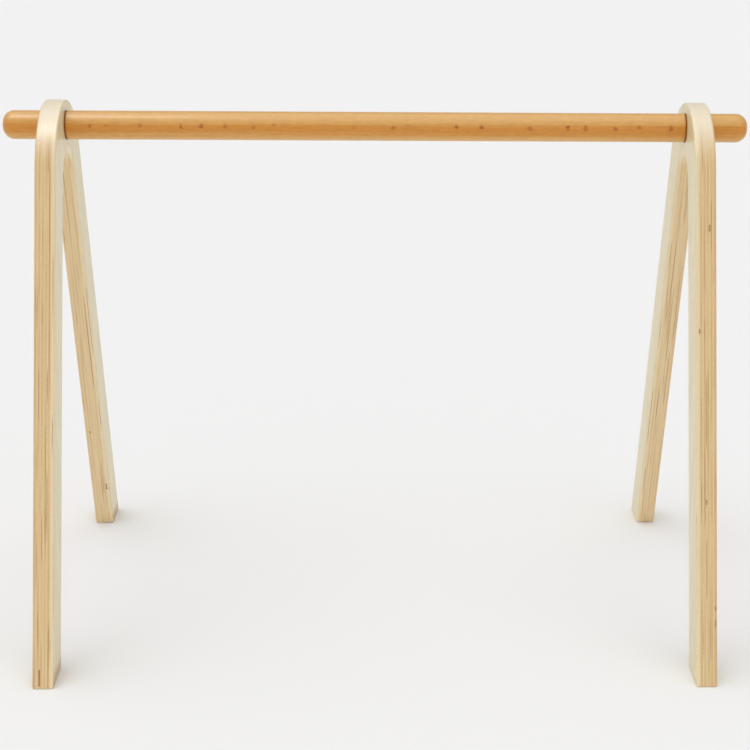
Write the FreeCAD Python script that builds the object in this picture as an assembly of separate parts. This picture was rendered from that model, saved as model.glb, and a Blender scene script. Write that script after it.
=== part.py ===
import FreeCAD, Part

import math
import os

# Wooden play gym: two plywood side frames and a round beech bar pushed through both.
#
# Millimetres. +X runs along the bar, +Y from the front feet to the rear feet, +Z up.
# The origin is on the floor, under the middle of the bar.

# Driving dimensions
BAR_DIAMETER = 25.0
BAR_LENGTH = 650.0
BAR_END_ROUND = 10.0       # radius that turns the bar's side into its end face

PLY_THICKNESS = 18.0
FRAME_HEIGHT = 461.0       # floor to the top of the outer arc
FRAME_DEPTH = 416.0        # front foot's corner to rear foot's corner, before they are rounded
LEG_WIDTH = 38.5           # square to the leg; the band is about 4 mm wider round the hole
OUTER_ARC_RADIUS = 69.0
INNER_ARC_RADIUS = 32.5
WIDTH_OVER_FRAMES = 577.0  # outer face to outer face

ARRIS_ROUND = 1.8          # every edge of a frame's outline is sanded to this radius
HOLE_MOUTH_ROUND = 0.6
BAR_CLEARANCE = 0.05       # radial gap round the bar in each hole


def leg_lean():
    """Angle of each leg from upright, in radians.

    A leg's outer side runs from the foot's outer corner and is tangent to the outer arc.
    """
    outer_centre_z = FRAME_HEIGHT - OUTER_ARC_RADIUS
    corner_distance = math.hypot(FRAME_DEPTH / 2, outer_centre_z)
    corner_angle = math.atan2(outer_centre_z, FRAME_DEPTH / 2)
    return math.acos(OUTER_ARC_RADIUS / corner_distance) - corner_angle


# Sizes that follow from them
LEG_LEAN = leg_lean()
OUTER_FOOT_Y = FRAME_DEPTH / 2
INNER_FOOT_Y = OUTER_FOOT_Y - LEG_WIDTH / math.cos(LEG_LEAN)


def arc_centre_z(foot_y, radius):
    """Height of the centre of an arc of this radius that both legs' sides are tangent to."""
    return (foot_y * math.cos(LEG_LEAN) - radius) / math.sin(LEG_LEAN)


INNER_ARC_TOP = arc_centre_z(INNER_FOOT_Y, INNER_ARC_RADIUS) + INNER_ARC_RADIUS
BAR_Z = (FRAME_HEIGHT + INNER_ARC_TOP) / 2  # the hole is in the middle of the wood
FRAME_OUTER_X = WIDTH_OVER_FRAMES / 2
HOLE_RADIUS = BAR_DIAMETER / 2 + BAR_CLEARANCE
OUTLINE_DISTANCE = HOLE_RADIUS + 2 * HOLE_MOUTH_ROUND  # edges further from the bar's axis are outline


def arch(foot_y, radius):
    """Edges of one side of the band: up the front leg, round the arc and down the rear leg."""
    centre_z = arc_centre_z(foot_y, radius)
    tangent_y = radius * math.cos(LEG_LEAN)
    tangent_z = centre_z + radius * math.sin(LEG_LEAN)
    front_foot = FreeCAD.Vector(0, -foot_y, 0)
    front_tangent = FreeCAD.Vector(0, -tangent_y, tangent_z)
    top = FreeCAD.Vector(0, 0, centre_z + radius)
    rear_tangent = FreeCAD.Vector(0, tangent_y, tangent_z)
    rear_foot = FreeCAD.Vector(0, foot_y, 0)
    return [
        Part.makeLine(front_foot, front_tangent),
        Part.Arc(front_tangent, top, rear_tangent).toShape(),
        Part.makeLine(rear_tangent, rear_foot),
    ]


def foot_line(leg):
    """The level cut under a foot. leg is +1 for the rear leg and -1 for the front leg."""
    return Part.makeLine(
        FreeCAD.Vector(0, leg * OUTER_FOOT_Y, 0), FreeCAD.Vector(0, leg * INNER_FOOT_Y, 0)
    )


def band_outline():
    """Closed outline of a side frame in the YZ plane, as a face."""
    edges = (
        arch(OUTER_FOOT_Y, OUTER_ARC_RADIUS)
        + arch(INNER_FOOT_Y, INNER_ARC_RADIUS)
        + [foot_line(-1), foot_line(1)]
    )
    return Part.Face(Part.Wire(Part.__sortEdges__(edges)))


def is_full_circle(edge):
    return edge.Closed and isinstance(edge.Curve, Part.Circle)


def side_frame(side):
    """Plywood side frame. side is -1 for the left frame and +1 for the right one."""
    along_bar = FreeCAD.Vector(side, 0, 0)
    bar_axis = Part.makeLine(
        FreeCAD.Vector(0, 0, BAR_Z), FreeCAD.Vector(side * PLY_THICKNESS, 0, BAR_Z)
    )
    hole = Part.makeCylinder(
        HOLE_RADIUS, PLY_THICKNESS, FreeCAD.Vector(0, 0, BAR_Z), along_bar
    )
    frame = band_outline().extrude(along_bar * PLY_THICKNESS).cut(hole)
    hole_mouths = [edge for edge in frame.Edges if is_full_circle(edge)]
    frame = frame.makeFillet(HOLE_MOUTH_ROUND, hole_mouths)
    outline_edges = [
        edge for edge in frame.Edges if edge.distToShape(bar_axis)[0] > OUTLINE_DISTANCE
    ]
    frame = frame.makeFillet(ARRIS_ROUND, outline_edges)
    frame.translate(along_bar * (FRAME_OUTER_X - PLY_THICKNESS))
    return frame


def crossbar():
    """Round bar along X with its two ends rounded over."""
    bar = Part.makeCylinder(
        BAR_DIAMETER / 2,
        BAR_LENGTH,
        FreeCAD.Vector(-BAR_LENGTH / 2, 0, BAR_Z),
        FreeCAD.Vector(1, 0, 0),
    )
    end_circles = [edge for edge in bar.Edges if is_full_circle(edge)]
    return bar.makeFillet(BAR_END_ROUND, end_circles)


def main():
    os.makedirs("parts", exist_ok=True)
    nodes = {
        "left_frame": side_frame(-1),
        "right_frame": side_frame(1),
        "crossbar": crossbar(),
    }
    for name, shape in nodes.items():
        if len(shape.Solids) != 1 or not shape.isValid():
            raise ValueError(name + " is not one valid solid")
        shape.exportStep("parts/" + name + ".step")
        box = shape.optimalBoundingBox()
        sizes = (box.XLength, box.YLength, box.ZLength)
        print(name, [round(size, 2) for size in sizes], "mm,", round(shape.Volume / 1000, 1), "cm3")


main()
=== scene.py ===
import math

import bpy
from mathutils import Matrix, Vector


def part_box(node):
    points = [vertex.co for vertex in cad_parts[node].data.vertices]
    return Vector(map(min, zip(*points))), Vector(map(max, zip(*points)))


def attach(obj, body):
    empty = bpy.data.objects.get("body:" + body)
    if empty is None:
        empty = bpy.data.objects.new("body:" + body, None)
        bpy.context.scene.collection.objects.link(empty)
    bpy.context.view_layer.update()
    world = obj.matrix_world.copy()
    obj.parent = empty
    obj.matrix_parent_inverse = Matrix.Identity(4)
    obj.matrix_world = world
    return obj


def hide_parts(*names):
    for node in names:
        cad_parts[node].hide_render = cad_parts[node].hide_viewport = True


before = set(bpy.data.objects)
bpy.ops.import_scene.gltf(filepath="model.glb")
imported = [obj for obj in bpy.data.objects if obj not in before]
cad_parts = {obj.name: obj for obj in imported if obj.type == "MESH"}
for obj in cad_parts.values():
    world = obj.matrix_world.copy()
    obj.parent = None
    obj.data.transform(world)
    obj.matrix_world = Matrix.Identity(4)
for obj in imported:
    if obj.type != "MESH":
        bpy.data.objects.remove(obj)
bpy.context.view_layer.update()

# Wooden play gym: two birch plywood frames, cut as a rounded letter A, on a varnished beech bar.
#
# Metres. +X runs along the bar, +Y from the front feet to the rear feet, +Z up.

MM = 0.001

# ---- sizes ---------------------------------------------------------------------------------

OUTER_ARC_RADIUS = 69.0 * MM
INNER_ARC_RADIUS = 32.5 * MM
LEG_WIDTH = 38.5 * MM          # square to the leg
ARRIS_ROUND = 1.8 * MM         # sanded edge of the plywood
HOLE_MOUTH_ROUND = 0.6 * MM
BAR_GAP = 0.05 * MM            # all round the bar in its holes
BAR_END_ROUND = 10.0 * MM
BAR_END_INSET = 1.6 * MM       # ring of faces round the middle of the bar's end
FACE_VENEER = 1.0 * MM         # the two outermost plies, sanded thin
INNER_PLIES = 11
CORE_GAP_FILL = 0.92           # a core gap is this much of its ply's thickness
CORE_GAP_ROUND = 0.45 * MM
INSIDE_CAD_BOX = 0.03 * MM     # keeps the feet just inside the CAD box

ARC_VERTICES = 128
HOLE_VERTICES = 96
BAR_VERTICES = 96
SMOOTH_ANGLE = math.radians(40)
CORNER_ANGLE = math.radians(60)
NEAR = 0.01 * MM               # points closer than this are the same

BAR_LOW, BAR_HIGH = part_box("crossbar")
BAR_RADIUS = (BAR_HIGH.z - BAR_LOW.z) / 2
BAR_Z = (BAR_HIGH.z + BAR_LOW.z) / 2
BAR_LENGTH = BAR_HIGH.x - BAR_LOW.x

BOARD_LOW, BOARD_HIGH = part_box("right_frame")
BOARD_THICKNESS = BOARD_HIGH.x - BOARD_LOW.x
INNER_PLY = (BOARD_THICKNESS - 2 * FACE_VENEER) / INNER_PLIES


def leg_lean(foot_y, height):
    """Angle of a leg from upright: its outer side is tangent to the outer arc."""
    rise = height - OUTER_ARC_RADIUS
    return math.acos(OUTER_ARC_RADIUS / math.hypot(foot_y, rise)) - math.atan2(rise, foot_y)


# Rounding a foot's corner takes a little off the board's depth, so the sharp corner is further out
LEG_LEAN = leg_lean(BOARD_HIGH.y, BOARD_HIGH.z)
CORNER_LOSS = ARRIS_ROUND * (1 - math.tan((math.pi / 2 - LEG_LEAN) / 2))
OUTER_FOOT_Y = BOARD_HIGH.y + CORNER_LOSS - INSIDE_CAD_BOX
LEG_LEAN = leg_lean(OUTER_FOOT_Y, BOARD_HIGH.z)
INNER_FOOT_Y = OUTER_FOOT_Y - LEG_WIDTH / math.cos(LEG_LEAN)


# ---- modelling -----------------------------------------------------------------------------


def start_piece():
    """Nothing stays selected, so an operator only acts on the new piece."""
    if bpy.context.mode != "OBJECT":
        bpy.ops.object.mode_set(mode="OBJECT")
    bpy.ops.object.select_all(action="DESELECT")


def select(test, kind="VERT"):
    """Selects what passes the test in the mesh being edited, and leaves edit mode on."""
    bpy.ops.mesh.select_mode(type=kind)
    bpy.ops.mesh.select_all(action="DESELECT")
    bpy.ops.object.mode_set(mode="OBJECT")
    mesh = bpy.context.object.data
    parts = {"VERT": mesh.vertices, "EDGE": mesh.edges, "FACE": mesh.polygons}[kind]
    for part in parts:
        part.select = bool(test(mesh, part))
    bpy.ops.object.mode_set(mode="EDIT")


def is_rim(mesh, edge, radius):
    """True for an edge that runs round the bar's axis, no further out than radius."""
    a, b = [mesh.vertices[i].co for i in edge.vertices]
    return abs(a.x - b.x) < NEAR and all(
        math.hypot(point.y, point.z - BAR_Z) < radius + 2 * NEAR for point in (a, b)
    )


def finish_piece(piece, body, node, material):
    """Applies the object's place to its mesh, smooths it and ties it to its CAD body."""
    start_piece()
    piece.select_set(True)
    bpy.context.view_layer.objects.active = piece
    bpy.ops.object.transform_apply(location=True, rotation=True, scale=True)
    bpy.ops.object.shade_smooth_by_angle(angle=SMOOTH_ANGLE)
    piece.modifiers.new("even shading", "WEIGHTED_NORMAL").keep_sharp = True
    bpy.ops.object.modifier_apply(modifier="even shading")
    piece.data.materials.clear()
    piece.data.materials.append(material)
    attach(piece, body)
    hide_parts(node)
    start_piece()


def cut_away(piece, cutter):
    """Takes the cutter's shape out of the piece, and the cutter out of the scene."""
    start_piece()
    piece.select_set(True)
    bpy.context.view_layer.objects.active = piece
    cut = piece.modifiers.new("cut", "BOOLEAN")
    cut.operation = "DIFFERENCE"
    cut.solver = "EXACT"
    cut.object = cutter
    bpy.ops.object.modifier_apply(modifier="cut")
    bpy.data.objects.remove(cutter)


def add_arch(foot_y, radius, inner_face_x):
    """Draws one side of the band in the open mesh: a leg, the arc and the other leg."""
    centre_z = (foot_y * math.cos(LEG_LEAN) - radius) / math.sin(LEG_LEAN)
    tangent_y = radius * math.cos(LEG_LEAN)
    tangent_z = centre_z + radius * math.sin(LEG_LEAN)
    bpy.ops.mesh.primitive_circle_add(
        vertices=ARC_VERTICES,
        radius=radius,
        location=(inner_face_x, 0, centre_z),
        rotation=(0, math.pi / 2, 0),
    )
    bpy.ops.mesh.bisect(
        plane_co=(0, 0, tangent_z), plane_no=(0, 0, 1), clear_inner=True, use_fill=False
    )
    for leg in (-1, 1):
        # the cut end of a faceted circle is a little inside its tangent point
        select(
            lambda mesh, v: abs(v.co.z - tangent_z) < NEAR
            and abs(v.co.y - leg * tangent_y) < 20 * NEAR
        )
        bpy.ops.mesh.extrude_region_move(
            TRANSFORM_OT_translate={"value": (0, leg * (foot_y - tangent_y), -tangent_z)}
        )


def frame_board(name, side, core_gaps):
    """One side frame. side is -1 for the left one and +1 for the right one."""
    inner_face_x = side * BOARD_LOW.x
    start_piece()
    bpy.ops.mesh.primitive_circle_add(vertices=3, radius=1.0)
    board = bpy.context.object
    board.name = board.data.name = name
    bpy.ops.object.mode_set(mode="EDIT")
    bpy.ops.mesh.select_all(action="SELECT")
    bpy.ops.mesh.delete(type="VERT")

    # the band, as a strip between its two sides, then the thickness of the board
    add_arch(OUTER_FOOT_Y, OUTER_ARC_RADIUS, inner_face_x)
    add_arch(INNER_FOOT_Y, INNER_ARC_RADIUS, inner_face_x)
    bpy.ops.mesh.select_mode(type="EDGE")
    bpy.ops.mesh.select_all(action="SELECT")
    bpy.ops.mesh.bridge_edge_loops()
    bpy.ops.mesh.select_all(action="SELECT")
    bpy.ops.mesh.extrude_region_move(
        TRANSFORM_OT_translate={"value": (side * BOARD_THICKNESS, 0, 0)}
    )
    bpy.ops.mesh.select_all(action="SELECT")
    bpy.ops.mesh.remove_doubles(threshold=NEAR)
    bpy.ops.mesh.normals_make_consistent(inside=False)

    # sanded arrises
    bpy.ops.mesh.select_all(action="DESELECT")
    bpy.ops.mesh.edges_select_sharp(sharpness=CORNER_ANGLE)
    bpy.ops.mesh.bevel(offset=ARRIS_ROUND, segments=5, profile=0.5, affect="EDGES")

    # the hole for the bar, with its mouths eased
    start_piece()
    bpy.ops.mesh.primitive_cylinder_add(
        vertices=HOLE_VERTICES,
        radius=BAR_RADIUS + BAR_GAP,
        depth=3 * BOARD_THICKNESS,
        location=(inner_face_x + side * BOARD_THICKNESS / 2, 0, BAR_Z),
        rotation=(0, math.pi / 2, 0),
    )
    cut_away(board, bpy.context.object)
    bpy.ops.object.mode_set(mode="EDIT")
    select(lambda mesh, edge: is_rim(mesh, edge, BAR_RADIUS + BAR_GAP), "EDGE")
    bpy.ops.mesh.bevel(offset=HOLE_MOUTH_ROUND, segments=3, profile=0.5, affect="EDGES")

    # short gaps where two strips of a crosswise ply don't meet, open on the edge of the board
    for ply, leg, foot_y, height, length, depth in core_gaps:
        ply_x = BOARD_LOW.x + FACE_VENEER + (ply + 0.5) * INNER_PLY
        surface_y = foot_y - height * math.tan(LEG_LEAN)
        start_piece()
        bpy.ops.mesh.primitive_cube_add(
            size=1.0,
            location=(side * ply_x, leg * surface_y, height),
            rotation=(leg * LEG_LEAN, 0, 0),
            scale=(INNER_PLY * CORE_GAP_FILL, 2 * depth, length),
        )
        cutter = bpy.context.object
        bpy.ops.object.transform_apply(location=False, rotation=False, scale=True)
        bpy.ops.object.mode_set(mode="EDIT")
        bpy.ops.mesh.select_all(action="SELECT")
        bpy.ops.mesh.bevel(offset=CORE_GAP_ROUND, segments=2, profile=0.5, affect="EDGES")
        bpy.ops.object.mode_set(mode="OBJECT")
        cut_away(board, cutter)
    return board


def beech_bar():
    """The round bar, its ends turned over to a flattened dome."""
    start_piece()
    bpy.ops.mesh.primitive_cylinder_add(
        vertices=BAR_VERTICES,
        radius=BAR_RADIUS,
        depth=BAR_LENGTH,
        location=(0, 0, BAR_Z),
        rotation=(0, math.pi / 2, 0),
    )
    bar = bpy.context.object
    bar.name = bar.data.name = "beech_bar"
    bpy.ops.object.transform_apply(location=True, rotation=True, scale=True)
    bpy.ops.object.mode_set(mode="EDIT")
    select(lambda mesh, edge: is_rim(mesh, edge, BAR_RADIUS), "EDGE")
    bpy.ops.mesh.bevel(offset=BAR_END_ROUND, segments=12, profile=0.5, affect="EDGES")
    select(lambda mesh, face: abs(face.normal.x) > 0.999, "FACE")
    bpy.ops.mesh.inset(thickness=BAR_END_INSET, depth=0.0)
    bpy.ops.mesh.poke()
    bpy.ops.object.mode_set(mode="OBJECT")
    return bar


# ---- materials -----------------------------------------------------------------------------

# A Mix node has a pair of inputs and one output for each kind of data, told apart by number
FLOAT_A, FLOAT_B, FLOAT_OUT = 2, 3, 0
VECTOR_A, VECTOR_B, VECTOR_OUT = 4, 5, 1
COLOUR_A, COLOUR_B, COLOUR_OUT = 6, 7, 2
FACTOR = 0

METRES_TO_MM = (1000, 1000, 1000)

# Most of a noise's values lie between these
NOISE_LOW = 0.3
NOISE_HIGH = 0.7

# Plywood patterns, in millimetres
FIRST_PLY = (BOARD_LOW.x + FACE_VENEER) / MM  # from the middle of the gym to the first inner ply
PLY = INNER_PLY / MM
GLUE_LINE_DRIFT = 45           # a glue line wanders once over about this length
TONE_DRIFT = 60                # a ply's tone changes over about this length
FIBRE_WIDTH = 0.7              # pores are under 0.1 mm wide, drawn wider so that they show
FIBRE_LENGTH = 25
FIGURE_WIDTH = 7
FIGURE_LENGTH = 130
FIGURE_DEPTH = 200
TAN_FOOT_FROM = 6.0         # height up the left frame's feet
TAN_FOOT_TO = 15.0
PLYWOOD_RELIEF = 0.08

# Beech patterns, in millimetres
BAR_AXIS = BAR_Z / MM
PORE_WIDTH = 0.6               # pores are under 0.1 mm wide, drawn wider so that they show
PORE_LENGTH = 18
MOTTLE_WIDTH = 2.4
MOTTLE_LENGTH = 7
BAND_BELOW_AXIS = 0.9
BAND_HALF = 1.5                # full colour to this far from the band's middle
BAND_FADED = 8.5
BAND_WAVER = 2.2
WAVER_LENGTH = 260
WAVER_DEPTH = 5
WAVER_WIDTH = 2.4
FLECK_SPACING = 24
FLECK_HALF_LENGTH = 1.9
FLECK_HALF_HEIGHT = 2.0
FLECK_LOWEST = 0.4             # above the bar's axis
FLECK_HIGHEST = 2.8
FRAME_INNER_FACE = BOARD_LOW.x / MM
# the painted contact shadow on the bar, beside each frame
CONTACT_SHADE_FROM = 2.4              # before the frame's inner face
CONTACT_SHADE_TO = 0.3
CONTACT_SHADE_HIDDEN = 1.0            # past the frame's inner face, inside the hole
BEECH_RELIEF = 0.05

# Places in a noise that are far enough apart to look unlike each other
PLY_STEP = (37.7, 0, 0)
SIDE_STEP = (30.0, 0.0, 0.0)   # for a metre
STRIPE_PLACE = (0.0, 91.3, 17.1)
STREAK_PLACE = (53.9, 7.7, 61.3)
FIGURE_PLACE = (0.0, 3.1, 0.7)


def linear(hex_colour):
    """An sRGB hex colour as linear red, green, blue and alpha."""
    channels = [int(hex_colour[i : i + 2], 16) / 255 for i in (1, 3, 5)]
    return [c / 12.92 if c <= 0.04045 else ((c + 0.055) / 1.055) ** 2.4 for c in channels] + [1.0]


def new_material(name):
    """An empty material."""
    material = bpy.data.materials.new(name)
    material.use_nodes = True
    material.node_tree.nodes.clear()
    return material


def add_node(material, kind, sockets=None, **settings):
    """Adds one node. settings are its own choices; sockets are values to set or outputs to link."""
    made = material.node_tree.nodes.new("ShaderNode" + kind)
    for name, value in settings.items():
        setattr(made, name, value)
    for socket, value in (sockets or {}).items():
        if isinstance(value, bpy.types.NodeSocket):
            material.node_tree.links.new(value, made.inputs[socket])
        else:
            made.inputs[socket].default_value = value
    return made


def birch_plywood():
    """Birch plywood, sanded and given a thin matt lacquer.

    The board is one solid pattern. Its thickness gives the ply, odd plies run up the frame and even
    ones across it. A ply that meets the surface end on is darker, which draws the stripes on the
    edges, and they swap over at the top of the arc. The flat sides only ever show the face veneer:
    pale cream, with a soft silky figure. The lacquer gives a broad, dull sheen and no sharp glints.
    """
    m = new_material("birch plywood, matt lacquer")
    place = add_node(m, "TexCoord")
    in_mm = add_node(m, "Mapping", {"Vector": place.outputs["Object"], "Scale": METRES_TO_MM})
    across = add_node(m, "SeparateXYZ", {0: in_mm.outputs["Vector"]})
    depth = add_node(m, "Math", {0: across.outputs["X"]}, operation="ABSOLUTE")
    ply_place = add_node(
        m,
        "MapRange",
        {
            "Value": depth.outputs[0],
            "From Min": FIRST_PLY,
            "From Max": FIRST_PLY + PLY,
            "To Min": 0.0,
            "To Max": 1.0,
        },
        clamp=False,
    )
    # the glue lines wander a little, by up to 0.08 of a ply, as the veneers do
    waver = add_node(
        m,
        "TexNoise",
        {"Vector": in_mm.outputs["Vector"], "Scale": 1 / GLUE_LINE_DRIFT, "Detail": 2.0},
    )
    wavered = add_node(
        m,
        "MapRange",
        {
            "Value": waver.outputs["Fac"],
            "From Min": NOISE_LOW,
            "From Max": NOISE_HIGH,
            "To Min": -0.08,
            "To Max": 0.08,
        },
    )
    ply = add_node(m, "Math", {0: ply_place.outputs[0], 1: wavered.outputs[0]}, operation="ADD")
    ply_number = add_node(m, "Math", {0: ply.outputs[0]}, operation="FLOOR")
    ply_share = add_node(m, "Math", {0: ply.outputs[0]}, operation="FRACT")
    upright = add_node(m, "Math", {0: ply_number.outputs[0], 1: 2.0}, operation="FLOORED_MODULO")

    # how far the grain of this ply points out of the surface
    facing = add_node(m, "VectorMath", {0: place.outputs["Normal"]}, operation="ABSOLUTE")
    facing_part = add_node(m, "SeparateXYZ", {0: facing.outputs[0]})
    end_grain = add_node(
        m,
        "Mix",
        {
            FACTOR: upright.outputs[0],
            FLOAT_A: facing_part.outputs["Y"],
            FLOAT_B: facing_part.outputs["Z"],
        },
        data_type="FLOAT",
    )
    end_share = add_node(
        m,
        "MapRange",
        {
            "Value": end_grain.outputs[FLOAT_OUT],
            "From Min": 0.35,
            "From Max": 0.9,
            "To Min": 0.0,
            "To Max": 1.0,
        },
        interpolation_type="SMOOTHSTEP",
    )

    # each ply has its own tone, which drifts along the board
    ply_seed = add_node(m, "CombineXYZ", {"X": ply_number.outputs[0], "Y": 0.0, "Z": 0.0})
    seed_far = add_node(m, "VectorMath", {0: ply_seed.outputs[0], 1: PLY_STEP}, operation="MULTIPLY")
    along_board = add_node(
        m,
        "Mapping",
        {"Vector": in_mm.outputs["Vector"], "Scale": (0.0, 1 / TONE_DRIFT, 1 / TONE_DRIFT)},
    )
    side_seed = add_node(m, "Mapping", {"Vector": place.outputs["Object"], "Scale": SIDE_STEP})
    tone_at = add_node(
        m, "VectorMath", {0: seed_far.outputs[0], 1: along_board.outputs[0]}, operation="ADD"
    )
    tone_here = add_node(
        m, "VectorMath", {0: tone_at.outputs[0], 1: side_seed.outputs[0]}, operation="ADD"
    )
    tone = add_node(m, "TexNoise", {"Vector": tone_here.outputs[0], "Scale": 1.0, "Detail": 2.0})

    # fibres, up the frame in the odd plies and across it in the even ones
    up_fibres = add_node(
        m,
        "Mapping",
        {
            "Vector": in_mm.outputs["Vector"],
            "Scale": (1 / FIBRE_WIDTH, 1 / FIBRE_WIDTH, 1 / FIBRE_LENGTH),
        },
    )
    cross_fibres = add_node(
        m,
        "Mapping",
        {
            "Vector": in_mm.outputs["Vector"],
            "Scale": (1 / FIBRE_WIDTH, 1 / FIBRE_LENGTH, 1 / FIBRE_WIDTH),
        },
    )
    fibre_place = add_node(
        m,
        "Mix",
        {
            FACTOR: upright.outputs[0],
            VECTOR_A: cross_fibres.outputs[0],
            VECTOR_B: up_fibres.outputs[0],
        },
        data_type="VECTOR",
    )
    fibre = add_node(
        m, "TexNoise", {"Vector": fibre_place.outputs[VECTOR_OUT], "Scale": 1.0, "Detail": 3.0}
    )

    # how strongly a ply shows its end grain drifts along the leg, so only some stripes are plain
    strength_here = add_node(
        m, "VectorMath", {0: tone_here.outputs[0], 1: STRIPE_PLACE}, operation="ADD"
    )
    strength = add_node(
        m, "TexNoise", {"Vector": strength_here.outputs[0], "Scale": 0.8, "Detail": 1.0}
    )
    stripe = add_node(
        m,
        "MapRange",
        {
            "Value": strength.outputs["Fac"],
            "From Min": 0.35,
            "From Max": 0.65,
            "To Min": 0.05,
            "To Max": 0.70,
        },
    )
    stripe_share = add_node(
        m, "Math", {0: end_share.outputs[0], 1: stripe.outputs[0]}, operation="MULTIPLY"
    )
    long_grain = add_node(
        m,
        "Mix",
        {FACTOR: tone.outputs["Fac"], COLOUR_A: linear("#DDB981"), COLOUR_B: linear("#ECD2A1")},
        data_type="RGBA",
    )
    cut_grain = add_node(
        m,
        "Mix",
        {FACTOR: tone.outputs["Fac"], COLOUR_A: linear("#B98851"), COLOUR_B: linear("#DEBE86")},
        data_type="RGBA",
    )
    leg_colour = add_node(
        m,
        "Mix",
        {
            FACTOR: stripe_share.outputs[0],
            COLOUR_A: long_grain.outputs[COLOUR_OUT],
            COLOUR_B: cut_grain.outputs[COLOUR_OUT],
        },
        data_type="RGBA",
    )
    # the plies beside the inner face are of paler wood, and the ones beside the outer face of oranger
    pale = add_node(
        m,
        "MapRange",
        {"Value": ply.outputs[0], "From Min": 0.4, "From Max": 2.4, "To Min": 0.7, "To Max": 0.0},
        interpolation_type="SMOOTHSTEP",
    )
    paler = add_node(
        m,
        "Mix",
        {
            FACTOR: pale.outputs[0],
            COLOUR_A: leg_colour.outputs[COLOUR_OUT],
            COLOUR_B: linear("#F6E4BC"),
        },
        data_type="RGBA",
    )
    orange = add_node(
        m,
        "MapRange",
        {"Value": ply.outputs[0], "From Min": 9.2, "From Max": 10.8, "To Min": 0.0, "To Max": 0.35},
        interpolation_type="SMOOTHSTEP",
    )
    ply_colour = add_node(
        m,
        "Mix",
        {
            FACTOR: orange.outputs[0],
            COLOUR_A: paler.outputs[COLOUR_OUT],
            COLOUR_B: linear("#DDA868"),
        },
        data_type="RGBA",
    )
    # sides that face down are painted lighter, a painted fill light where little light reaches them
    turned = add_node(m, "SeparateXYZ", {0: place.outputs["Normal"]})
    painted_fill_on_down_faces = add_node(
        m,
        "MapRange",
        {
            "Value": turned.outputs["Z"],
            "From Min": -0.30,
            "From Max": -0.10,
            "To Min": 0.24,
            "To Max": 0.0,
        },
    )
    ply_colour_with_painted_fill = add_node(
        m,
        "Mix",
        {
            FACTOR: painted_fill_on_down_faces.outputs[0],
            COLOUR_A: ply_colour.outputs[COLOUR_OUT],
            COLOUR_B: linear("#FAE6BE"),
        },
        data_type="RGBA",
    )
    # over the arc the plies are painted pale and nearly alike, a painted sheen from the light
    # overhead
    painted_sheen_on_arc = add_node(
        m,
        "MapRange",
        {
            "Value": facing_part.outputs["Z"],
            "From Min": 0.38,
            "From Max": 1.0,
            "To Min": 0.0,
            "To Max": 0.80,
        },
        interpolation_type="SMOOTHSTEP",
    )
    edge_colour = add_node(
        m,
        "Mix",
        {
            FACTOR: painted_sheen_on_arc.outputs[0],
            COLOUR_A: ply_colour_with_painted_fill.outputs[COLOUR_OUT],
            COLOUR_B: linear("#F4EAD2"),
        },
        data_type="RGBA",
    )

    # the face veneer is peeled off the log, so its figure is broad, soft and drawn out up the frame
    figure_place = add_node(
        m,
        "Mapping",
        {
            "Vector": in_mm.outputs["Vector"],
            "Scale": (1 / FIGURE_DEPTH, 1 / FIGURE_WIDTH, 1 / FIGURE_LENGTH),
            "Location": FIGURE_PLACE,
        },
    )
    figure = add_node(
        m,
        "TexNoise",
        {
            "Vector": figure_place.outputs[0],
            "Scale": 1.0,
            "Detail": 5.0,
            "Roughness": 0.55,
            "Distortion": 0.6,
        },
    )
    face_colour = add_node(
        m,
        "Mix",
        {FACTOR: figure.outputs["Fac"], COLOUR_A: linear("#DDC990"), COLOUR_B: linear("#F8EDC9")},
        data_type="RGBA",
    )
    # the face turns tan towards the floor at the feet of the left frame
    near_floor = add_node(
        m,
        "MapRange",
        {
            "Value": across.outputs["Z"],
            "From Min": TAN_FOOT_FROM,
            "From Max": TAN_FOOT_TO,
            "To Min": 0.9,
            "To Max": 0.0,
        },
        interpolation_type="SMOOTHSTEP",
    )
    left_only = add_node(m, "Math", {0: across.outputs["X"], 1: 0.0}, operation="LESS_THAN")
    tan_foot_share = add_node(
        m, "Math", {0: near_floor.outputs[0], 1: left_only.outputs[0]}, operation="MULTIPLY"
    )
    face_colour_tan_at_foot = add_node(
        m,
        "Mix",
        {
            FACTOR: tan_foot_share.outputs[0],
            COLOUR_A: face_colour.outputs[COLOUR_OUT],
            COLOUR_B: linear("#C9A56E"),
        },
        data_type="RGBA",
    )
    on_face = add_node(
        m,
        "MapRange",
        {
            "Value": facing_part.outputs["X"],
            "From Min": 0.6,
            "From Max": 0.95,
            "To Min": 0.0,
            "To Max": 1.0,
        },
        interpolation_type="SMOOTHSTEP",
    )
    wood = add_node(
        m,
        "Mix",
        {
            FACTOR: on_face.outputs[0],
            COLOUR_A: edge_colour.outputs[COLOUR_OUT],
            COLOUR_B: face_colour_tan_at_foot.outputs[COLOUR_OUT],
        },
        data_type="RGBA",
    )

    # a glue line is 0.1 mm thick; 0.2 mm is drawn so that it still shows
    from_ply_middle = add_node(m, "Math", {0: ply_share.outputs[0], 1: 0.5}, operation="SUBTRACT")
    off_middle = add_node(m, "Math", {0: from_ply_middle.outputs[0]}, operation="ABSOLUTE")
    glue_shade = add_node(
        m,
        "MapRange",
        {
            "Value": off_middle.outputs[0],
            "From Min": 0.40,
            "From Max": 0.5,
            "To Min": 1.0,
            "To Max": 0.90,
        },
    )
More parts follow.
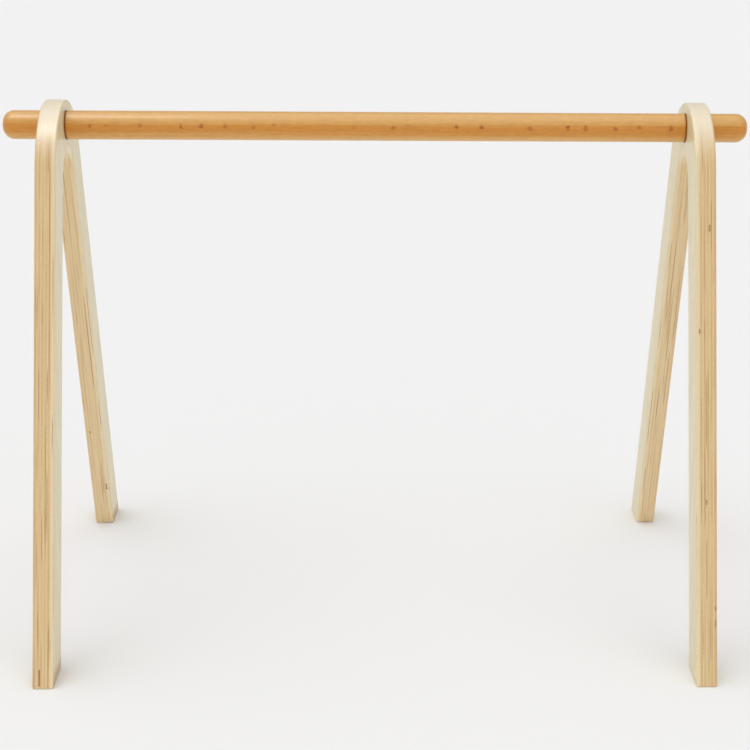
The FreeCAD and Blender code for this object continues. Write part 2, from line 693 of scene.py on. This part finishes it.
    # long dark streaks, where the peeled veneer opened and took up glue
    streak_here = add_node(
        m, "VectorMath", {0: tone_here.outputs[0], 1: STREAK_PLACE}, operation="ADD"
    )
    streak_noise = add_node(
        m, "TexNoise", {"Vector": streak_here.outputs[0], "Scale": 0.7, "Detail": 1.0}
    )
    streak_length = add_node(
        m,
        "MapRange",
        {
            "Value": streak_noise.outputs["Fac"],
            "From Min": 0.57,
            "From Max": 0.66,
            "To Min": 0.0,
            "To Max": 1.0,
        },
        interpolation_type="SMOOTHSTEP",
    )
    streak_width = add_node(
        m,
        "MapRange",
        {
            "Value": off_middle.outputs[0],
            "From Min": 0.05,
            "From Max": 0.28,
            "To Min": 0.85,
            "To Max": 0.0,
        },
        interpolation_type="SMOOTHSTEP",
    )
    streak = add_node(
        m, "Math", {0: streak_length.outputs[0], 1: streak_width.outputs[0]}, operation="MULTIPLY"
    )
    # neither shows on the faces, and both fade under the painted sheen over the arc
    plain = add_node(m, "Math", {0: on_face.outputs[0], 1: painted_sheen_on_arc.outputs[0]}, operation="MAXIMUM")
    streaked = add_node(
        m, "Math", {0: streak.outputs[0], 1: plain.outputs[0]}, operation="SUBTRACT", use_clamp=True
    )
    streaked_wood = add_node(
        m,
        "Mix",
        {
            FACTOR: streaked.outputs[0],
            COLOUR_A: wood.outputs[COLOUR_OUT],
            COLOUR_B: linear("#A26B30"),
        },
        data_type="RGBA",
    )
    lines = add_node(
        m,
        "Mix",
        {FACTOR: plain.outputs[0], FLOAT_A: glue_shade.outputs[0], FLOAT_B: 1.0},
        data_type="FLOAT",
    )
    fibre_shade = add_node(
        m,
        "MapRange",
        {
            "Value": fibre.outputs["Fac"],
            "From Min": NOISE_LOW,
            "From Max": NOISE_HIGH,
            "To Min": 0.93,
            "To Max": 1.05,
        },
    )
    shade = add_node(
        m,
        "Math",
        {0: fibre_shade.outputs[0], 1: lines.outputs[FLOAT_OUT]},
        operation="MULTIPLY",
    )
    shaded = add_node(
        m,
        "VectorMath",
        {0: streaked_wood.outputs[COLOUR_OUT], "Scale": shade.outputs[0]},
        operation="SCALE",
    )
    relief = add_node(
        m,
        "Bump",
        {"Height": fibre.outputs["Fac"], "Strength": 0.25, "Distance": PLYWOOD_RELIEF * MM},
    )
    surface = add_node(
        m,
        "BsdfPrincipled",
        {
            "Base Color": shaded.outputs[0],
            "Roughness": 0.42,
            "IOR": 1.48,
            "Coat Weight": 0.45,
            "Coat Roughness": 0.28,
            "Normal": relief.outputs[0],
        },
    )
    add_node(m, "OutputMaterial", {"Surface": surface.outputs[0]})
    return m


def varnished_beech():
    """Beech dowel, turned, with several coats of clear varnish.

    Warm orange brown, with a deeper orange band painted along the front and back as shade, fine
    straight pores, short dark ray flecks, and a soft gloss that draws a pale line along the top.
    """
    m = new_material("beech, clear varnish")
    place = add_node(m, "TexCoord")
    in_mm = add_node(m, "Mapping", {"Vector": place.outputs["Object"], "Scale": METRES_TO_MM})
    across = add_node(m, "SeparateXYZ", {0: in_mm.outputs["Vector"]})

    pore_place = add_node(
        m,
        "Mapping",
        {
            "Vector": in_mm.outputs["Vector"],
            "Scale": (1 / PORE_LENGTH, 1 / PORE_WIDTH, 1 / PORE_WIDTH),
        },
    )
    pores = add_node(m, "TexNoise", {"Vector": pore_place.outputs[0], "Scale": 1.0, "Detail": 2.0})
    # faint mottling, drawn out along the bar
    mottle_place = add_node(
        m,
        "Mapping",
        {
            "Vector": in_mm.outputs["Vector"],
            "Scale": (1 / MOTTLE_LENGTH, 1 / MOTTLE_WIDTH, 1 / MOTTLE_WIDTH),
        },
    )
    mottle = add_node(m, "TexNoise", {"Vector": mottle_place.outputs[0], "Scale": 1.0, "Detail": 2.0})

    # a deeper orange band is painted along the front and back of the bar, just below its axis, as
    # painted shade where less light falls; its edges waver like year rings
    waver_place = add_node(
        m,
        "Mapping",
        {
            "Vector": in_mm.outputs["Vector"],
            "Scale": (1 / WAVER_LENGTH, 1 / WAVER_DEPTH, 1 / WAVER_WIDTH),
            "Rotation": (0.5, 0, 0),
        },
    )
    waver = add_node(
        m,
        "TexNoise",
        {"Vector": waver_place.outputs[0], "Scale": 1.0, "Detail": 3.0, "Distortion": 0.3},
    )
    band_waver = add_node(
        m,
        "MapRange",
        {
            "Value": waver.outputs["Fac"],
            "From Min": NOISE_LOW,
            "From Max": NOISE_HIGH,
            "To Min": -BAND_WAVER,
            "To Max": BAND_WAVER,
        },
    )
    band_height = add_node(
        m, "Math", {0: across.outputs["Z"], 1: BAR_AXIS - BAND_BELOW_AXIS}, operation="SUBTRACT"
    )
    band_wavered = add_node(
        m, "Math", {0: band_height.outputs[0], 1: band_waver.outputs[0]}, operation="ADD"
    )
    band_from = add_node(m, "Math", {0: band_wavered.outputs[0]}, operation="ABSOLUTE")
    painted_shade_band = add_node(
        m,
        "MapRange",
        {
            "Value": band_from.outputs[0],
            "From Min": BAND_HALF,
            "From Max": BAND_FADED,
            "To Min": 1.0,
            "To Max": 0.0,
        },
        interpolation_type="SMOOTHSTEP",
    )
    body = add_node(
        m,
        "Mix",
        {FACTOR: painted_shade_band.outputs[0], COLOUR_A: linear("#DDA95E"), COLOUR_B: linear("#D58D30")},
        data_type="RGBA",
    )

    # ray flecks: ragged spots about 4 mm long, in a row just above the middle of the front and back,
    # where the rays come out. Their strength differs from one to the next
    fleck_cell = add_node(
        m, "Math", {0: across.outputs["X"], 1: 1 / FLECK_SPACING}, operation="MULTIPLY"
    )
    flecks = add_node(
        m,
        "TexVoronoi",
        {"W": fleck_cell.outputs[0], "Scale": 1.0},
        feature="F1",
        voronoi_dimensions="1D",
    )
    fleck_random = add_node(m, "SeparateColor", {0: flecks.outputs["Color"]})
    fleck_along = add_node(
        m,
        "Math",
        {0: flecks.outputs["Distance"], 1: FLECK_SPACING / FLECK_HALF_LENGTH},
        operation="MULTIPLY",
    )
    fleck_height = add_node(
        m,
        "MapRange",
        {
            "Value": fleck_random.outputs["Green"],
            "From Min": 0.0,
            "From Max": 1.0,
            "To Min": BAR_AXIS + FLECK_LOWEST,
            "To Max": BAR_AXIS + FLECK_HIGHEST,
        },
    )
    fleck_above = add_node(
        m, "Math", {0: across.outputs["Z"], 1: fleck_height.outputs[0]}, operation="SUBTRACT"
    )
    fleck_up = add_node(
        m, "Math", {0: fleck_above.outputs[0], 1: 1 / FLECK_HALF_HEIGHT}, operation="MULTIPLY"
    )
    fleck_place = add_node(
        m, "CombineXYZ", {"X": fleck_along.outputs[0], "Y": fleck_up.outputs[0], "Z": 0.0}
    )
    fleck_near = add_node(m, "VectorMath", {0: fleck_place.outputs[0]}, operation="LENGTH")
    fleck_ragged = add_node(
        m,
        "MapRange",
        {
            "Value": mottle.outputs["Fac"],
            "From Min": NOISE_LOW,
            "From Max": NOISE_HIGH,
            "To Min": -0.5,
            "To Max": 0.5,
        },
    )
    fleck_edge = add_node(
        m, "Math", {0: fleck_near.outputs["Value"], 1: fleck_ragged.outputs[0]}, operation="ADD"
    )
    fleck_shape = add_node(
        m,
        "MapRange",
        {
            "Value": fleck_edge.outputs[0],
            "From Min": 0.5,
            "From Max": 1.4,
            "To Min": 1.0,
            "To Max": 0.0,
        },
        interpolation_type="SMOOTHSTEP",
    )
    fleck_share = add_node(
        m, "Math", {0: fleck_shape.outputs[0], 1: fleck_random.outputs["Red"]}, operation="MULTIPLY"
    )
    flecked = add_node(
        m,
        "Mix",
        {
            FACTOR: fleck_share.outputs[0],
            COLOUR_A: body.outputs[COLOUR_OUT],
            COLOUR_B: linear("#A84E00"),
        },
        data_type="RGBA",
    )

    # dark rings painted on the bar against the frames' inner faces: a painted contact shadow where
    # the frames shade the bar
    from_middle = add_node(m, "Math", {0: across.outputs["X"]}, operation="ABSOLUTE")
    near_frame = add_node(
        m,
        "MapRange",
        {
            "Value": from_middle.outputs[0],
            "From Min": FRAME_INNER_FACE - CONTACT_SHADE_FROM,
            "From Max": FRAME_INNER_FACE - CONTACT_SHADE_TO,
            "To Min": 0.0,
            "To Max": 0.9,
        },
        interpolation_type="SMOOTHSTEP",
    )
    between_frames = add_node(
        m,
        "Math",
        {0: from_middle.outputs[0], 1: FRAME_INNER_FACE + CONTACT_SHADE_HIDDEN},
        operation="LESS_THAN",
    )
    painted_contact_shade = add_node(
        m, "Math", {0: near_frame.outputs[0], 1: between_frames.outputs[0]}, operation="MULTIPLY"
    )
    bar_colour_with_painted_shade = add_node(
        m,
        "Mix",
        {
            FACTOR: painted_contact_shade.outputs[0],
            COLOUR_A: flecked.outputs[COLOUR_OUT],
            COLOUR_B: linear("#7E3D03"),
        },
        data_type="RGBA",
    )
    # the coat thins out in the painted shadow, so it shows no gloss there
    coat_weight_less_in_painted_shade = add_node(
        m,
        "MapRange",
        {"Value": painted_contact_shade.outputs[0], "From Min": 0.0, "From Max": 0.9, "To Min": 0.75, "To Max": 0.0},
    )

    pore_shade = add_node(
        m,
        "MapRange",
        {
            "Value": pores.outputs["Fac"],
            "From Min": NOISE_LOW,
            "From Max": NOISE_HIGH,
            "To Min": 0.94,
            "To Max": 1.05,
        },
    )
    mottle_shade = add_node(
        m,
        "MapRange",
        {
            "Value": mottle.outputs["Fac"],
            "From Min": NOISE_LOW,
            "From Max": NOISE_HIGH,
            "To Min": 0.93,
            "To Max": 1.05,
        },
    )
    shade = add_node(
        m, "Math", {0: pore_shade.outputs[0], 1: mottle_shade.outputs[0]}, operation="MULTIPLY"
    )
    shaded = add_node(
        m,
        "VectorMath",
        {0: bar_colour_with_painted_shade.outputs[COLOUR_OUT], "Scale": shade.outputs[0]},
        operation="SCALE",
    )
    relief = add_node(
        m,
        "Bump",
        {"Height": pores.outputs["Fac"], "Strength": 0.15, "Distance": BEECH_RELIEF * MM},
    )
    surface = add_node(
        m,
        "BsdfPrincipled",
        {
            "Base Color": shaded.outputs[0],
            "Roughness": 0.45,
            "IOR": 1.5,
            "Specular IOR Level": 0.15,
            "Coat Weight": coat_weight_less_in_painted_shade.outputs[0],
            "Coat Roughness": 0.3,
            "Coat IOR": 1.5,
            "Normal": relief.outputs[0],
        },
    )
    add_node(m, "OutputMaterial", {"Surface": surface.outputs[0]})
    return m


def plain_floor():
    """Matt white painted board: pale, with no gloss, so only the soft shadows show on it."""
    m = new_material("matt white floor")
    surface = add_node(
        m,
        "BsdfPrincipled",
        {"Base Color": linear("#F4F4F4"), "Roughness": 1.0, "Specular IOR Level": 0.0},
    )
    add_node(m, "OutputMaterial", {"Surface": surface.outputs[0]})
    return m


# ---- the play gym --------------------------------------------------------------------------

plywood = birch_plywood()
beech = varnished_beech()

# inner ply, leg (-1 front, +1 rear), side of the leg, height of its middle, length and depth
LEFT_CORE_GAPS = [
    (7, -1, OUTER_FOOT_Y, 9 * MM, 14 * MM, 2.2 * MM),
    (1, 1, INNER_FOOT_Y, 46 * MM, 8 * MM, 2.5 * MM),
    (8, 1, INNER_FOOT_Y, 112 * MM, 3 * MM, 1.8 * MM),
]
RIGHT_CORE_GAPS = [
    (1, -1, OUTER_FOOT_Y, 285 * MM, 4 * MM, 2.0 * MM),
    (7, -1, OUTER_FOOT_Y, 368 * MM, 6 * MM, 2.0 * MM),
    (5, -1, OUTER_FOOT_Y, 148 * MM, 5 * MM, 1.8 * MM),
    (10, -1, OUTER_FOOT_Y, 63 * MM, 4 * MM, 1.8 * MM),
    (10, -1, OUTER_FOOT_Y, 51 * MM, 6 * MM, 1.8 * MM),
]

left_board = frame_board("left_frame_board", -1, LEFT_CORE_GAPS)
finish_piece(left_board, "left_frame", "left_frame", plywood)
right_board = frame_board("right_frame_board", 1, RIGHT_CORE_GAPS)
finish_piece(right_board, "right_frame", "right_frame", plywood)
finish_piece(beech_bar(), "crossbar", "crossbar", beech)

# ---- floor, light and camera ---------------------------------------------------------------

FLOOR_SIZE = 80

ROOM_LIGHT = 0.45

OVERHEAD_ENERGY = 1.40
OVERHEAD_SPREAD = math.radians(70)
OVERHEAD_TILT = math.radians(-10)      # about Y: the light comes from a little to the left

FILL_ENERGY = 0.72
FILL_SPREAD = math.radians(120)
FILL_TILT = math.radians(74)           # about X: the light comes from low in front

# a box lamp over the left of the bar, which only adds gloss
SOFTBOX_PLACE = (-0.5, -0.1, 1.05)
SOFTBOX_LENGTH = 0.55
SOFTBOX_WIDTH = 0.22
SOFTBOX_ENERGY = 2.1

CAMERA_PLACE = (-3.0 * MM, -1605.1 * MM, 710.96 * MM)
CAMERA_TURN = math.radians(1.587)      # to the right of +Y
CAMERA_DOWN = math.radians(18.041)
CAMERA_ROLL = math.radians(0.549)
CAMERA_LENS = 88.30                    # millimetres
CAMERA_SENSOR = 36.0
CAMERA_SHIFT_X = -0.0622
CAMERA_SHIFT_Y = 0.0333
CAMERA_REACH = 200

start_piece()
bpy.ops.mesh.primitive_plane_add(size=FLOOR_SIZE)
floor = bpy.context.object
floor.name = "floor"
floor.data.materials.append(plain_floor())

world = bpy.data.worlds.new("studio")
bpy.context.scene.world = world
world.use_nodes = True
world.node_tree.nodes["Background"].inputs["Color"].default_value = (1, 1, 1, 1)
world.node_tree.nodes["Background"].inputs["Strength"].default_value = ROOM_LIGHT

bpy.ops.object.light_add(type="SUN", location=(0, 0, 3))
overhead = bpy.context.object
overhead.name = "overhead"
overhead.data.energy = OVERHEAD_ENERGY
overhead.data.angle = OVERHEAD_SPREAD
overhead.rotation_euler = (0, OVERHEAD_TILT, 0)

bpy.ops.object.light_add(type="SUN", location=(0, -3, 2))
fill = bpy.context.object
fill.name = "front_fill"
fill.data.energy = FILL_ENERGY
fill.data.angle = FILL_SPREAD
fill.rotation_euler = (FILL_TILT, 0, 0)

bpy.ops.object.light_add(type="AREA", location=SOFTBOX_PLACE)
softbox = bpy.context.object
softbox.name = "softbox"
softbox.data.shape = "RECTANGLE"
softbox.data.size = SOFTBOX_LENGTH
softbox.data.size_y = SOFTBOX_WIDTH
softbox.data.energy = SOFTBOX_ENERGY
softbox.visible_camera = False
softbox.visible_diffuse = False

bpy.ops.object.camera_add(location=CAMERA_PLACE)
camera = bpy.context.object
camera.name = "camera"
camera.data.lens = CAMERA_LENS
camera.data.sensor_width = CAMERA_SENSOR
camera.data.shift_x = CAMERA_SHIFT_X
camera.data.shift_y = CAMERA_SHIFT_Y
camera.data.clip_end = CAMERA_REACH
camera.matrix_world = (
    Matrix.Translation(CAMERA_PLACE)
    @ Matrix.Rotation(-CAMERA_TURN, 4, "Z")
    @ Matrix.Rotation(math.pi / 2 - CAMERA_DOWN, 4, "X")
    @ Matrix.Rotation(CAMERA_ROLL, 4, "Z")
)
bpy.context.scene.camera = camera
bpy.context.scene.view_settings.view_transform = "Standard"
